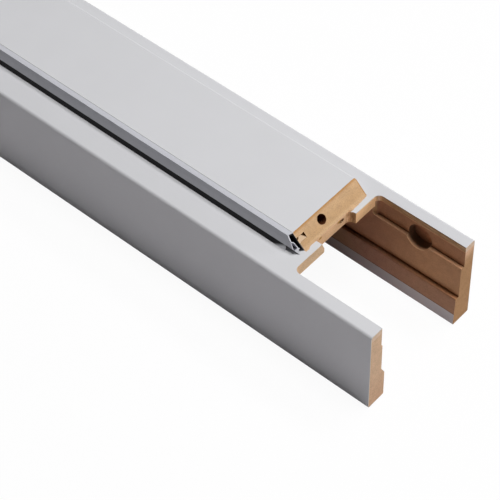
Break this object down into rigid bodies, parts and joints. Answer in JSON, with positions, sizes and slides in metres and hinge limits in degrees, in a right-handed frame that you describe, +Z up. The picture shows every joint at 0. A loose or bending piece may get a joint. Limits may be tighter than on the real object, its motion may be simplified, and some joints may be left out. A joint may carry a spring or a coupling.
{
  "type": "door frame header",
  "caption": "Header of an interior door frame: lining board between casings, mitred door stop with seal, notched ends that take the jambs.",
  "frame": {"origin": "centre of the header at the level of the casings' long edges, on which it stands", "axes": "+X along the header, -Y towards the side with the rebate and the seal, +Z up from the casings' edges to the door stop"},
  "size_m": [0.95, 0.101, 0.0802],
  "materials": {
    "foiled_board": "satin light grey foil on fibreboard, raw tan board on cut faces",
    "seal": "matt grey with a black inside"
  },
  "bodies": {
    "root": {"lining_board": "foiled_board", "front_casing": "foiled_board", "rear_casing": "foiled_board", "door_stop": "foiled_board", "door_seal": "seal"}
  },
  "joints": []
}
